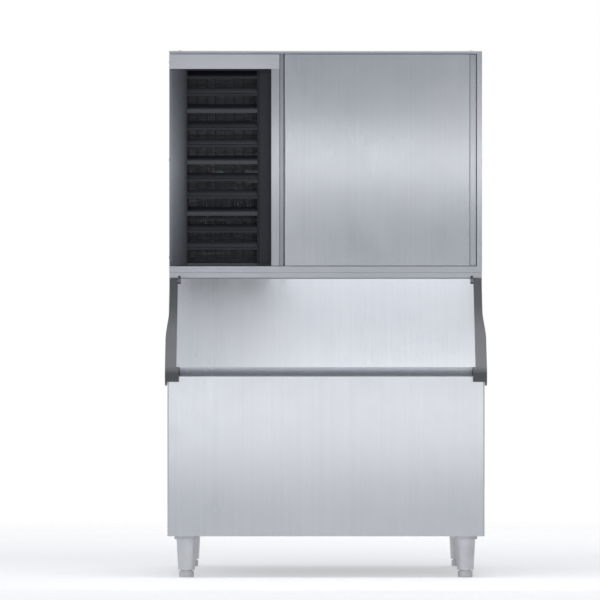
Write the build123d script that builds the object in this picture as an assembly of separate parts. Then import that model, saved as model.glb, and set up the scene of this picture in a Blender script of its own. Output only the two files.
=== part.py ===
from build123d import *
import math
import os

os.makedirs("parts", exist_ok=True)

# ---------------------------------------------------------------- driving sizes (mm)
W2 = 381.0            # half width of head and bin
BIN_Y0 = -432.0       # front of the bin
BACK_Y = 432.0        # common back plane
HEAD_Y0 = -190.0      # front of the head
LEG_H = 100.0         # top of the legs, bottom of the cabinet
FRONT_TOP = 484.0     # top lip of the lower front
BIN_TOP = 731.0       # top of the bin
HEAD_Z0 = 735.0       # underside of the head
HEAD_Z1 = 1275.0      # top of the machine
SHEET = 1.2           # stainless sheet
PROUD = 12.0          # how far the hand grips and the pipe fittings stand out of the body
WALL = 4.0            # liner wall

HY, HZ = -200.0, 712.5          # hinge axis of the bin door
DOOR_OUT = 4.0                  # outer face above the hinge axis, along the door's normal
DOOR_IN = -24.0                 # inner face
SEAL = -26.0                    # liner flange plane
S0, S1 = -6.0, 310.0            # door's top and bottom edges, along the slope
SLOPE = math.atan2(220.0, 242.0)
DY, DZ = -math.cos(SLOPE), -math.sin(SLOPE)      # down the slope
NY, NZ = -math.sin(SLOPE), math.cos(SLOPE)       # out of the door

PIN_R = 3.0
PIN_CLEAR = 0.05

CEL_X0, CEL_X1 = -60.0, 340.0   # evaporator width
CEL_Z0, CEL_Z1 = 890.0, 1180.0  # evaporator height
CEL_Y0, CEL_Y1 = 60.0, 82.0     # depth of the cells
CELLS_X, CELLS_Z = 14, 10
COIL_ROWS, COIL_Z0, COIL_PITCH = 8, 905.0, 36.8
COIL_Z1 = COIL_Z0 + (COIL_ROWS - 1) * COIL_PITCH

FAN_X, FAN_Z = -246.0, 930.0
FAN_R = 98.0


def box(x0, x1, y0, y1, z0, z1):
    return Pos((x0 + x1) / 2, (y0 + y1) / 2, (z0 + z1) / 2) * Box(x1 - x0, y1 - y0, z1 - z0)


def st(s, t):
    """(y, z) of a point s down the slope and t out of the door, from the hinge axis."""
    return (HY + s * DY + t * NY, HZ + s * DZ + t * NZ)


def prism(points, x0, x1):
    """Solid with the outline (y, z) between two x planes."""
    f = make_face(Polyline(*[(x0, y, z) for y, z in points], close=True))
    return extrude(f, amount=x1 - x0, dir=(1, 0, 0))


def door_slab(x0, x1, s0, s1, t0, t1):
    return prism([st(s0, t0), st(s1, t0), st(s1, t1), st(s0, t1)], x0, x1)


def plan(points, z0, z1):
    """Solid with the outline (x, y) between two z planes."""
    f = make_face(Polyline(*[(x, y, z0) for x, y in points], close=True))
    return extrude(f, amount=z1 - z0, dir=(0, 0, 1))


def cyl_x(r, x0, x1, y, z):
    return Pos((x0 + x1) / 2, y, z) * Rot(0, 90, 0) * Cylinder(r, x1 - x0)


def cyl_y(r, y0, y1, x, z):
    return Pos(x, (y0 + y1) / 2, z) * Rot(90, 0, 0) * Cylinder(r, y1 - y0)


def cyl_z(r, z0, z1, x, y):
    return Pos(x, y, (z0 + z1) / 2) * Cylinder(r, z1 - z0)


def pipe(points, r, factor=0.45, cap=None, name=""):
    """Round tube along straight runs joined by tangent arcs."""
    pts = [Vector(*p) for p in points]
    radii = []
    for i in range(1, len(pts) - 1):
        a, b = pts[i] - pts[i - 1], pts[i + 1] - pts[i]
        turn = math.radians(a.get_angle(b))
        rad = factor * min(a.length, b.length) / math.tan(turn / 2)
        if cap:
            rad = min(rad, cap)
        radii.append(rad)
    line = FilletPolyline(*pts, radius=radii)
    start = pts[0]
    plane = Plane(origin=start, z_dir=(pts[1] - pts[0]).normalized())
    solid = sweep(plane * Circle(r), path=line)
    length = line.length
    print(f"{name}: radii {[round(x, 1) for x in radii]}, length {length:.1f}, "
          f"volume {solid.volume:.0f} against {math.pi * r * r * length:.0f}")
    return solid


def save(name, *solids):
    out = []
    for s in solids:
        out += list(s.solids())
    shape = out[0] if len(out) == 1 else Compound(children=out)
    shape.label = name
    export_step(shape, f"parts/{name}.step")


def slope_z(y, t=SEAL):
    return HZ + (t - NY * (y - HY)) / NZ


# ================================================================ storage bin
# ---- lower front: folded sheet with lip, side returns and bottom return
lip_y = st(S1, SEAL)[0]
front = box(-W2, W2, BIN_Y0, BIN_Y0 + 17, LEG_H, FRONT_TOP)
front = fillet(front.edges().filter_by(Axis.Z).group_by(Axis.Y)[0], 3.0)
inner = box(-W2 + SHEET, W2 - SHEET, BIN_Y0 + SHEET, BIN_Y0 + 40, LEG_H + SHEET, FRONT_TOP - SHEET)
inner = fillet(inner.edges().filter_by(Axis.Z).group_by(Axis.Y)[0], 1.8)
front = front - inner
lip = box(-W2 + 3, W2 - 3, BIN_Y0 + 10, lip_y, FRONT_TOP - SHEET, FRONT_TOP)
save("bin_front_panel", front + lip)

# ---- side panels with an inward top flange
side_y0 = BIN_Y0 + 17.4
rail_y0 = -174.0
side_pts = [(side_y0, LEG_H), (side_y0, FRONT_TOP - SHEET - 0.3), (lip_y + 0.3, FRONT_TOP - SHEET - 0.3),
            (lip_y + 0.3, slope_z(lip_y + 0.3)), (rail_y0, slope_z(rail_y0)), (rail_y0, BIN_TOP),
            (BACK_Y, BIN_TOP), (BACK_Y, LEG_H)]
for name, x0, x1, f0, f1 in (("bin_left_side_panel", -W2, -W2 + SHEET, -W2, -W2 + 14),
                             ("bin_right_side_panel", W2 - SHEET, W2, W2 - 14, W2)):
    panel = prism(side_pts, x0, x1)
    flange = box(f0, f1, rail_y0, BACK_Y - SHEET, BIN_TOP - SHEET, BIN_TOP)
    save(name, panel + flange)

# ---- back panel, with the drain's hole
DRAIN_X, DRAIN_Z = 0.0, 176.0
back = box(-W2 + SHEET, W2 - SHEET, BACK_Y - SHEET, BACK_Y, LEG_H, BIN_TOP - SHEET)
for k in range(3):
    z = 300 + 130 * k
    back = back + box(-300, 300, BACK_Y - SHEET, BACK_Y + 1.5, z, z + 26)
back = back - cyl_y(19, BACK_Y - 5, BACK_Y + 5, DRAIN_X, DRAIN_Z)
save("bin_back_panel", back)

# ---- bottom panel with four leg plates
LEG_X, LEG_YF, LEG_YB = 336.0, -382.0, 382.0
bottom = box(-W2 + SHEET, W2 - SHEET, BIN_Y0 + 17.4, BACK_Y - SHEET, LEG_H, LEG_H + SHEET)
for sx in (-1, 1):
    for y in (LEG_YF, LEG_YB):
        bottom = bottom + box(sx * LEG_X - 40, sx * LEG_X + 40, y - 26, y + 26, LEG_H, LEG_H + 4)
save("bin_bottom_panel", bottom)

# ---- liner: the ice compartment with its slope flange and top flange
CAV_X = 340.0
CY0, CY1, CZ0 = -388.0, 388.0, 150.0
cav_pts = [(CY0, CZ0), (CY0, slope_z(CY0) + 30), (CY0 - 0.0, 900.0), (CY1, 900.0), (CY1, CZ0 + 14)]
cavity = prism(cav_pts, -CAV_X, CAV_X)
cavity = fillet(cavity.edges().filter_by(Axis.Z).group_by(Axis.Y)[0]
                + cavity.edges().filter_by(Axis.Z).group_by(Axis.Y)[-1], 30)
tub_env = [(CY0 - WALL, CZ0 - WALL), (CY0 - WALL, slope_z(CY0 - WALL)), (rail_y0, slope_z(rail_y0)),
           (rail_y0, BIN_TOP), (CY1 + WALL, BIN_TOP), (CY1 + WALL, CZ0 + 14 - WALL)]
tub = prism(tub_env, -CAV_X - WALL, CAV_X + WALL)
tub = fillet(tub.edges().filter_by(Axis.Z).group_by(Axis.Y)[0]
             + tub.edges().filter_by(Axis.Z).group_by(Axis.Y)[-1], 34)
tub_outer = tub
flange_env = [(lip_y + 0.3, slope_z(lip_y + 0.3, SEAL - WALL)), (lip_y + 0.3, slope_z(lip_y + 0.3)),
              (rail_y0, slope_z(rail_y0)), (rail_y0, slope_z(rail_y0, SEAL - WALL))]
slope_flange = prism(flange_env, -W2 + SHEET, W2 - SHEET)
rear_flange = box(-W2 + SHEET, W2 - SHEET, rail_y0 + 46, BACK_Y - SHEET, BIN_TOP - SHEET - WALL, BIN_TOP - SHEET)
RAIL = (rail_y0, rail_y0 + 46, 694.0, BIN_TOP)     # y0, y1, z0, z1 of the cross rail
rail_pocket = box(-CAV_X - WALL - 0.0, CAV_X + WALL + 0.0, RAIL[0] - 1, RAIL[1], RAIL[2], BIN_TOP + 1)
drain_hole = cyl_y(16, CY1 - 2, BACK_Y, DRAIN_X, DRAIN_Z)
liner = tub + slope_flange + rear_flange - cavity
liner = liner - rail_pocket - drain_hole
liner = liner - box(-W2, W2, RAIL[0], RAIL[1], RAIL[2], BIN_TOP + 1)
save("bin_liner", max(liner.solids(), key=lambda s: s.volume))

# ---- insulation between the panels and the liner
foam_env = [(BIN_Y0 + 17.4, LEG_H + 4), (BIN_Y0 + 17.4, FRONT_TOP - SHEET - 0.5), (lip_y + 0.3, FRONT_TOP - SHEET - 0.5),
            (lip_y + 0.3, slope_z(lip_y + 0.3, SEAL - WALL)), (rail_y0, slope_z(rail_y0, SEAL - WALL)),
            (rail_y0, RAIL[2]), (RAIL[1], RAIL[2]), (RAIL[1], BIN_TOP - SHEET - WALL),
            (BACK_Y - SHEET, BIN_TOP - SHEET - WALL), (BACK_Y - SHEET, LEG_H + 4)]
foam = prism(foam_env, -W2 + SHEET, W2 - SHEET) - tub_outer
foam = foam + (box(-W2 + 3.1, W2 - 3.1, BIN_Y0 + SHEET, BIN_Y0 + 18, LEG_H + 4, FRONT_TOP - SHEET - 0.5) - tub_outer)
foam = foam - cyl_y(16, CY1 - 20, BACK_Y + 1, DRAIN_X, DRAIN_Z)
save("bin_insulation", max(foam.solids(), key=lambda s: s.volume))

# ---- cross rail: closed box section
rail = box(-W2 + SHEET, W2 - SHEET, RAIL[0], RAIL[1], RAIL[2], BIN_TOP - SHEET)
rail = rail - box(-W2 - 1, W2 + 1, RAIL[0] + 1.5, RAIL[1] - 1.5, RAIL[2] + 1.5, BIN_TOP - SHEET - 1.5)
# nose: folded strip under the head's front edge, notched round the hinge ears
NOSE = (-188.5, -173.5, 722.0, 734.6)
nose = box(-W2 + 0.2, W2 - 0.2, *NOSE) - box(-W2 - 1, W2 + 1, NOSE[0] + SHEET, NOSE[1] + 1, NOSE[2] + SHEET, NOSE[3] - SHEET)
nose = nose - box(-W2 - 1, W2 + 1, RAIL[0] - 0.2, RAIL[0] + 2, BIN_TOP - SHEET, NOSE[3] + 1)
nose = nose - box(-W2 - 1, -W2 + SHEET, RAIL[0] - 0.2, RAIL[0] + 2, 700, 740) - box(W2 - SHEET, W2 + 1, RAIL[0] - 0.2, RAIL[0] + 2, 700, 740)
for sx in (-1, 1):
    x0, x1 = sorted((sx * 353.2, sx * 358.8))
    nose = nose - box(x0, x1, NOSE[0] - 1, RAIL[0], 720, 727)
rail = rail + nose
save("bin_top_rail", rail)

# ---- gasket between bin and head
gasket = box(-W2 + 14, W2 - 14, RAIL[0] + 2, BACK_Y - 4, BIN_TOP - SHEET, HEAD_Z0)
gasket = gasket - box(-W2 + 36, W2 - 36, RAIL[1] - 4, BACK_Y - 40, BIN_TOP - 5, HEAD_Z0 + 1)
gasket = gasket - box(-W2, -W2 + 14.0, RAIL[0], BACK_Y, BIN_TOP - 5, HEAD_Z0 + 1)
save("bin_head_gasket", gasket)

# ---- drain: flanged tube from the compartment to the back
drain = cyl_y(16, CY1, BACK_Y + PROUD, DRAIN_X, DRAIN_Z)
nut = Pos(DRAIN_X, BACK_Y + 3, DRAIN_Z) * Rot(90, 0, 0) * extrude(RegularPolygon(24, 6), amount=3, both=True)
drain = drain + (nut & box(-60, 60, BACK_Y, BACK_Y + 6, 100, 260))
drain = drain - cyl_y(12, CY1 - 5, BACK_Y + PROUD + 4, DRAIN_X, DRAIN_Z)
save("bin_drain_fitting", drain)

# ---- legs and levelling feet
legs, feet = [], {}
for lx, sx in (("left", -1), ("right", 1)):
    for ly, y in (("front", LEG_YF), ("back", LEG_YB)):
        x = sx * LEG_X
        leg = Pos(x, y, (18 + 92) / 2) * Cone(20.0, 24.0, 92 - 18)
        leg = leg + cyl_z(29, 92, LEG_H, x, y)
        leg = leg - cyl_z(9.1, 17, 70, x, y)
        legs.append(leg)
        pad = cyl_z(18.0, 0, 15, x, y)
        pad = chamfer(pad.edges().sort_by(Axis.Z)[0], 1.5)
        nutf = Pos(x, y, 16.5) * extrude(RegularPolygon(14, 6), amount=1.5, both=True)
        feet[f"foot_{ly}_{lx}"] = pad + nutf + cyl_z(9.0, 15, 66, x, y)
save("legs", *legs)
for name, foot in feet.items():
    save(name, foot)

# ---- hinge ears of the door, on the cross rail
EAR_X0, EAR_X1 = 354.0, 358.0
ears = []
for sx in (-1, 1):
    x0, x1 = sorted((sx * EAR_X0, sx * EAR_X1))
    ear = prism([(HY - 5, HZ + 7.5), (rail_y0, 726), (rail_y0, 703.5), (HY + 2, HZ - 8.2)], x0, x1)
    ear = ear + cyl_x(8.6, x0, x1, HY, HZ)
    ear = ear - cyl_x(PIN_R + PIN_CLEAR, x0 - 1, x1 + 1, HY, HZ)
    ears.append(ear)
save("door_hinge_brackets", *ears)

# ---- rubber bumpers on the flange
bumps = []
for sx in (-1, 1):
    y, z = st(294.0, (SEAL + DOOR_IN) / 2)
    b = Pos(sx * 300, y, z) * Rot(math.degrees(math.atan2(-NY, NZ)), 0, 0) * Cylinder(9, DOOR_IN - SEAL)
    bumps.append(b)
save("door_bumpers", *bumps)

# ================================================================ bin door
CORE_X = 352.0
skin = door_slab(-CORE_X, CORE_X, S0, S1, DOOR_IN + 2.0, DOOR_OUT)
skin = skin - door_slab(-CORE_X + SHEET, CORE_X - SHEET, S0 + SHEET, S1 - SHEET, DOOR_IN - 5, DOOR_OUT - SHEET)
face_x = 359.6
skin = skin + door_slab(-face_x, -CORE_X + 1, S0 + 18, S1, DOOR_OUT - SHEET, DOOR_OUT)
skin = skin + door_slab(CORE_X - 1, face_x, S0 + 18, S1, DOOR_OUT - SHEET, DOOR_OUT)
save("bin_door_skin", skin)

liner_d = door_slab(-CORE_X, CORE_X, S0, S1, DOOR_IN, DOOR_IN + 2.0)
plug = door_slab(-318, 318, 34, 258, DOOR_IN - 12, DOOR_IN)
plug = fillet(plug.edges().filter_by(lambda e: abs(e.tangent_at(0.5).X) < 0.01 and abs(abs(e.tangent_at(0.5).Z) - abs(NZ)) < 0.02), 16)
plug_in = door_slab(-315.5, 315.5, 36.5, 255.5, DOOR_IN - 9.5, DOOR_IN + 3)
liner_d = liner_d + plug - plug_in
save("bin_door_liner", liner_d)

foam_d = door_slab(-CORE_X + SHEET, CORE_X - SHEET, S0 + SHEET, S1 - SHEET, DOOR_IN + 2.0, DOOR_OUT - SHEET)
foam_d = foam_d + door_slab(-315.5, 315.5, 36.5, 255.5, DOOR_IN - 9.5, DOOR_IN + 2.1)
save("bin_door_foam", foam_d)

# side grips: moulded end caps, narrow at the top and flared into a skirt and a hand grip at the bottom
TOP_T = DOOR_OUT + 1.5
CAP_X, SKIRT_X0, SKIRT_X1, HAND_X0 = 379.0, 382.2, 387.0, 353.5
cap_a = [st(S0 + 22, DOOR_IN), st(S0 + 22, DOOR_OUT - SHEET), st(S1, DOOR_OUT - SHEET), st(S1, DOOR_IN)]
hand = [(-440, 503), (BIN_Y0 - PROUD, 495), (BIN_Y0 - PROUD, 479), (-441, 472.5)]
foot_g = [(-435, 471), (-433.4, 473), (-433.4, 484.8), (-418, 484.8)]
cap_b = [st(S0, DOOR_IN), st(S0, TOP_T), st(S1 - 8, TOP_T)] + hand + foot_g + [st(S1 - 6, DOOR_IN)]
cap_c = [st(60, DOOR_IN), st(60, TOP_T), st(S1 - 8, TOP_T)] + hand + [(-435, 466), (-424, 462), st(S1 - 30, -42),
         st(150, -36), st(105, -27)]
# the hand grip runs on under the door's lower edge
cap_d = [st(S1 - 4, DOOR_IN), st(S1 - 4, DOOR_OUT - SHEET - 1), st(S1 + 0.4, DOOR_OUT - SHEET - 1), st(S1 + 0.4, TOP_T - 1)] + hand + foot_g
# outer face, seen square to the slope: straight, then out in an easy curve
FLARE0, FLARE1 = 100.0, 215.0
outline = [(S0 - 40, CAP_X), (FLARE0, CAP_X)]
for k in range(1, 13):
    u = k / 13
    outline.append((FLARE0 + (FLARE1 - FLARE0) * u, CAP_X + (SKIRT_X1 - CAP_X) * u * u * (3 - 2 * u)))
outline += [(FLARE1, SKIRT_X1), (S1 + 90, SKIRT_X1), (S1 + 90, 440.0), (S0 - 40, 440.0)]
for name, sx in (("door_grip_left", -1), ("door_grip_right", 1)):
    def xs(a, b):
        return sorted((sx * a, sx * b))
    g = prism(cap_a, *xs(CORE_X, 359.6)) + prism(cap_b, *xs(359.6, SKIRT_X0)) + prism(cap_c, *xs(SKIRT_X0, SKIRT_X1))
    g = g + prism(cap_d, *xs(HAND_X0, 359.6))
    slope = Plane(origin=(0, HY, HZ), x_dir=(0, DY, DZ), z_dir=(0, NY, NZ))
    away = make_face(Polyline(*[slope.from_local_coords((a, sx * b, -90.0)) for a, b in outline], close=True))
    g = g - extrude(away, amount=140.0, dir=(0, NY, NZ))
    g = g - cyl_x(PIN_R, *xs(358.0, 374.0), HY, HZ)
    save(name, g)

save("door_hinge_pins", *[cyl_x(PIN_R, *sorted((sx * 353.0, sx * 374.0)), HY, HZ) for sx in (-1, 1)])

# ================================================================ ice maker head
T = 1.2
# ---- base pan with upturned rims and a front channel
DROP = (-80.0, 352.0, -150.0, 44.0)     # ice drop opening x0, x1, y0, y1
pan = box(-W2, W2, HEAD_Y0, BACK_Y, HEAD_Z0, HEAD_Z0 + 15)
pan = pan - box(-W2 + T, W2 - T, HEAD_Y0 + T, BACK_Y - T, HEAD_Z0 + 2, HEAD_Z0 + 20)
pan = pan + box(-W2 + T, W2 - T, HEAD_Y0, HEAD_Y0 + 26, HEAD_Z0 + 15 - 2, HEAD_Z0 + 15)
pan = pan - box(DROP[0], DROP[1], DROP[2], DROP[3], HEAD_Z0 - 5, HEAD_Z0 + 5)
for x0, x1, y0, y1 in ((DROP[0] - 1.5, DROP[1] + 1.5, DROP[2] - 1.5, DROP[2]), (DROP[0] - 1.5, DROP[1] + 1.5, DROP[3], DROP[3] + 1.5),
                       (DROP[0] - 1.5, DROP[0], DROP[2], DROP[3]), (DROP[1], DROP[1] + 1.5, DROP[2], DROP[3])):
    pan = pan + box(x0, x1, y0, y1, HEAD_Z0, HEAD_Z0 + 12)
PINS = {"grille": (-371.0, -178.0), "right": (-92.0, -182.0)}
for x, y in PINS.values():
    pan = pan - cyl_z(PIN_R, HEAD_Z0 + 10, HEAD_Z0 + 20, x, y)
save("head_base_pan", pan)

P_Z0, P_Z1 = HEAD_Z0 + 15, HEAD_Z1 - 7      # height of the side and back panels
# ---- back panel with exhaust louvres and the inlet's hole
INLET_X, INLET_Z = -330.0, 1180.0
hback = box(-W2 + T, W2 - T, BACK_Y - T, BACK_Y, P_Z0, P_Z1)
for k in range(12):
    z = 820 + 24 * k
    hback = hback - box(-340, -140, BACK_Y - 3, BACK_Y + 3, z, z + 8)
    hood = prism([(BACK_Y, z + 8), (BACK_Y, z + 9.2), (BACK_Y + 5.5, z + 1.2), (BACK_Y + 5.5, z)], -342, -138)
    hback = hback + hood
hback = hback - cyl_y(12.2, BACK_Y - 3, BACK_Y + 3, INLET_X, INLET_Z)
hback = hback - cyl_y(11.0, BACK_Y - 3, BACK_Y + 3, -160, 775)      # cable inlet
save("head_back_panel", hback)

# ---- side panels
hl = box(-W2, -W2 + T, -160, BACK_Y, P_Z0, P_Z1)
for k in range(12):
    z = 820 + 24 * k
    hl = hl - box(-W2 - 2, -W2 + 5, 180, 380, z, z + 8)
hl = hl + box(-W2 + T, -W2 + 14, -160, -160 + T, P_Z0, P_Z1)
save("head_left_side_panel", hl)
STRIP_X = 368.5
hr = box(W2 - T, W2, HEAD_Y0, BACK_Y, P_Z0, P_Z1)
hr = hr + box(STRIP_X, W2, HEAD_Y0, HEAD_Y0 + T, P_Z0, P_Z1)
hr = hr + box(STRIP_X, STRIP_X + T, HEAD_Y0, HEAD_Y0 + 26, P_Z0, P_Z1)
save("head_right_side_panel", hr)

# ---- top cover with a turned-down rim
top = box(-W2, W2, HEAD_Y0, BACK_Y, HEAD_Z1 - 7, HEAD_Z1)
top = fillet(top.edges().group_by(Axis.Z)[-1], 1.8)
top = top - box(-W2 + T, W2 - T, HEAD_Y0 + T, BACK_Y - T, HEAD_Z1 - 20, HEAD_Z1 - T)
save("head_top_cover", top)

# ---- top cross rail
tr = box(-W2 + T, STRIP_X, HEAD_Y0 + T, -160 - 0.0, HEAD_Z1 - 7 - 0.0, HEAD_Z1 - T)
tr = tr - box(-W2, STRIP_X + 5, HEAD_Y0 + T + 1.5, -161.5, HEAD_Z1 - 5.5, HEAD_Z1)
for x, y in PINS.values():
    tr = tr - cyl_z(PIN_R, HEAD_Z1 - 10, HEAD_Z1 - 3, x, y)
save("head_top_rail", tr)

# ---- partition
part = box(-112, -100, -158, BACK_Y - T, HEAD_Z0 + 2, HEAD_Z1 - 7)
part = part + box(-111.5, -104, -178, -157, HEAD_Z0 + 15.5, HEAD_Z1 - 7.5)      # mullion between the two front doors
for y, z, r in ((200, 1100, 9), (230, 1060, 7), (260, 1020, 7), (300, 770, 12)):
    part = part - cyl_x(r, -120, -90, y, z)
save("centre_partition", part)

# ---- air filter: frame with a mesh of bars
flt = box(-366, -124, -150, -144, 760, 1226) - box(-358, -132, -155, -140, 768, 1218)
bars = []
for k in range(1, 10):
    x = -358 + 226 * k / 10
    bars.append(box(x - 1, x + 1, -148, -146, 767, 1219))
for k in range(1, 18):
    z = 768 + 450 * k / 18
    bars.append(box(-359, -131, -148, -146, z - 1, z + 1))
for b in bars:
    flt = flt + b
save("air_filter", flt)

# ---- condenser: fin pack with end plates, tubes and return bends
CX0, CX1, CYF, CYB, CZA, CZB = -352.0, -136.0, -134.0, -94.0, 770.0, 1092.0
cond = [box(CX0, CX0 + 1.5, CYF, CYB, CZA, CZB), box(CX1 - 1.5, CX1, CYF, CYB, CZA, CZB)]
for k in range(1, 36):
    x = CX0 + (CX1 - CX0) * k / 36
    cond.append(box(x - 0.4, x + 0.4, CYF + 1, CYB - 1, CZA + 2, CZB - 2))
for k in range(12):
    z = CZA + 14 + 26.7 * k
    cond.append(cyl_x(4.8, CX0 - 6, CX1 + 6, (CYF + CYB) / 2, z))
for k in range(0, 12, 2):
    z = CZA + 14 + 26.7 * k
    cond.append(box(CX0 - 12, CX0 - 6, (CYF + CYB) / 2 - 4.8, (CYF + CYB) / 2 + 4.8, z - 4.8, z + 26.7 + 4.8))
for k in range(1, 11, 2):
    z = CZA + 14 + 26.7 * k
    cond.append(box(CX1 + 6, CX1 + 12, (CYF + CYB) / 2 - 4.8, (CYF + CYB) / 2 + 4.8, z - 4.8, z + 26.7 + 4.8))
cond_solid = cond[0].fuse(*cond[1:]) if hasattr(cond[0], "fuse") else sum(cond[1:], cond[0])
save("condenser_coil", cond_solid)

# ---- fan shroud
sh = box(-356, -132, -91.7, -50, 764, 1098) - box(-354.5, -133.5, -95, -51.5, 765.5, 1096.5)
sh = sh - cyl_y(FAN_R + 8, -60, -40, FAN_X, FAN_Z)
ring = cyl_y(FAN_R + 10, -51.5, -36, FAN_X, FAN_Z) - cyl_y(FAN_R + 8, -60, -30, FAN_X, FAN_Z)
feet_s = box(-340, -150, -56, -50, 737, 765.5)
save("fan_shroud", sh + ring + feet_s)

# ---- fan motor with its bracket
FM_Y0 = -8.0
fm = cyl_y(40, FM_Y0, 54, FAN_X, FAN_Z)
fm = fillet(fm.edges().group_by(Axis.Y)[-1], 8)
fm = fm + cyl_y(12, -14, FM_Y0, FAN_X, FAN_Z)
shaft = cyl_y(4, -44, -13, FAN_X, FAN_Z)
fm = fm + shaft
for k in range(3):
    a = math.radians(90 + 120 * k)
    dx, dz = math.cos(a), math.sin(a)
    arm = Pos(FAN_X + dx * 72, -6, FAN_Z + dz * 72) * Rot(0, -math.degrees(a), 0) * Box(74, 3, 10)
    fm = fm + arm
    leg_a = Pos(FAN_X + dx * (FAN_R + 9), -21.75, FAN_Z + dz * (FAN_R + 9)) * Rot(0, -math.degrees(a), 0) * Box(2, 28.5, 10)
    fm = fm + leg_a
save("fan_motor", fm)

# ---- fan blade: hub with five pitched blades
hub = cyl_y(16, -44, -22, FAN_X, FAN_Z)
blades = hub
for k in range(5):
    bl = Pos(FAN_X, -33, FAN_Z) * Rot(0, 72 * k, 0) * Pos(56, 0, 0) * Rot(24, 0, 0) * Box(82, 1.6, 44)
    blades = blades + bl
blades = blades & cyl_y(FAN_R, -44, -20, FAN_X, FAN_Z)
blades = blades - cyl_y(4 + 0.05, -46, -16, FAN_X, FAN_Z)
blades = blades + cyl_y(10, -46, -44.2, FAN_X, FAN_Z) + (cyl_y(10, -44.3, -43.9, FAN_X, FAN_Z) - cyl_y(4.05, -44.4, -43.0, FAN_X, FAN_Z))
save("fan_blade", max(blades.solids(), key=lambda s: s.volume))

# ---- compressor on its feet
KX, KY = -246.0, 290.0
can = cyl_z(78, 764, 952, KX, KY)
can = fillet(can.edges().group_by(Axis.Z)[-1] + can.edges().group_by(Axis.Z)[0], 26)
can = can + cyl_z(81, 852, 860, KX, KY)
base = box(KX - 95, KX + 95, KY - 80, KY + 80, 757, 760)
base = base + box(KX - 60, KX + 60, KY - 50, KY + 50, 759, 770)
term = box(KX + 60, KX + 98, KY - 26, KY + 26, 880, 930)
term = term + cyl_z(6, 935, 956, KX - 40, KY - 50) + cyl_z(8, 935, 956, KX + 40, KY - 18)
comp = can + base + term
for sx in (-1, 1):
    for sy in (-1, 1):
        comp = comp - cyl_z(6, 750, 762, KX + sx * 82, KY + sy * 66)
save("compressor", comp)
groms = []
for sx in (-1, 1):
    for sy in (-1, 1):
        x, y = KX + sx * 82, KY + sy * 66
        gsol = cyl_z(13, 737, 757, x, y) + cyl_z(6, 757, 760, x, y) + cyl_z(10, 760, 764, x, y)
        groms.append(gsol)
save("compressor_grommets", *groms)

# ---- filter drier, hot gas valve, expansion valve
fd = cyl_y(22, 80, 170, -150, 1120)
fd = fillet(fd.edges().filter_by(GeomType.CIRCLE), 8)
fd = fd + cyl_y(6, 64, 186, -150, 1120)
save("filter_drier", fd)
hg = box(-222, -190, 190, 222, 1058, 1082) + cyl_z(9, 1082, 1090, -206, 206) + box(-224, -188, 186, 226, 1090, 1130)
save("hot_gas_valve", hg)
xv = cyl_z(9, 1080, 1120, -40, 200) + cyl_z(19, 1120, 1132, -40, 200) + cyl_x(7, -60, -40, 200, 1100) + cyl_y(7, 180, 200, -40, 1090)
save("expansion_valve", xv)

# ---- copper lines
TUBE_Z = [CZA + 14 + 26.7 * k for k in range(12)]
cy = (CYF + CYB) / 2
discharge = pipe([(KX - 40, KY - 50, 956), (KX - 40, KY - 50, 1016), (-361, 180, 1030), (-361, 20, TUBE_Z[11]), (-361, cy + 4.8, TUBE_Z[11])],
                 4.0, cap=24, name="discharge line")
liquid = pipe([(CX1 + 6, cy, TUBE_Z[0]), (CX1 + 18, cy, TUBE_Z[0]), (-120, 10, 810), (-120, 44, 1080), (-150, 44, 1120), (-150, 64, 1120)],
              3.2, cap=14, name="liquid line")
feed = pipe([(-150, 186, 1120), (-150, 200, 1120), (-134, 200, 1100), (-60, 200, 1100)], 3.2, cap=14, name="feed line")
coil_feed = pipe([(-40, 180, 1090), (-40, 158, 1090), (-54, 130, 1146), (-54, 90.6, COIL_Z1), (-30, 90.6, COIL_Z1)], 3.2, cap=14, name="coil feed")
suction = pipe([(-30, 90.6, COIL_Z0), (-60, 90.6, COIL_Z0), (-76, 160, 960), (-76, 230, 1060), (-160, 230, 1060), (-206, 272, 1020), (-206, 272, 956)],
               6.0, cap=22, name="suction line")
hotgas = pipe([(-206, 222, 1070), (-206, 244, 1070), (-150, 260, 1020), (-80, 260, 1020), (-40, 232, 1020), (-40, 200, 1044), (-40, 200, 1080)],
              3.2, cap=14, name="hot gas line")
save("refrigerant_lines", discharge, liquid, feed, coil_feed, suction, hotgas)

# ---- control box with a recess for the toggle
cb = box(-352, -134, -136, 30, 1112, 1236)
cb = fillet(cb.edges().filter_by(Axis.Y), 2)
SW_X, SW_Z = -180.0, 1150.0
cb = cb - box(SW_X - 8, SW_X + 8, -140, -118, SW_Z - 14, SW_Z + 14)
cb = cb + box(-346, -140, -128, 24, 1236, 1262)
cb = cb + cyl_x(2.2, SW_X - 9, SW_X - 6.8, -134, SW_Z) + cyl_x(2.2, SW_X + 6.8, SW_X + 9, -134, SW_Z)
save("control_box", cb)
rock = prism([(-140.5, SW_Z + 11), (-137.5, SW_Z + 11.8), (-127, SW_Z + 6), (-127, SW_Z - 6), (-133.5, SW_Z - 11.8), (-136.2, SW_Z - 11)],
             SW_X - 6.5, SW_X + 6.5)
rock = rock - cyl_x(2.25, SW_X - 7, SW_X - 4, -134, SW_Z) - cyl_x(2.25, SW_X + 4, SW_X + 7, -134, SW_Z)
save("power_switch", rock)

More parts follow.
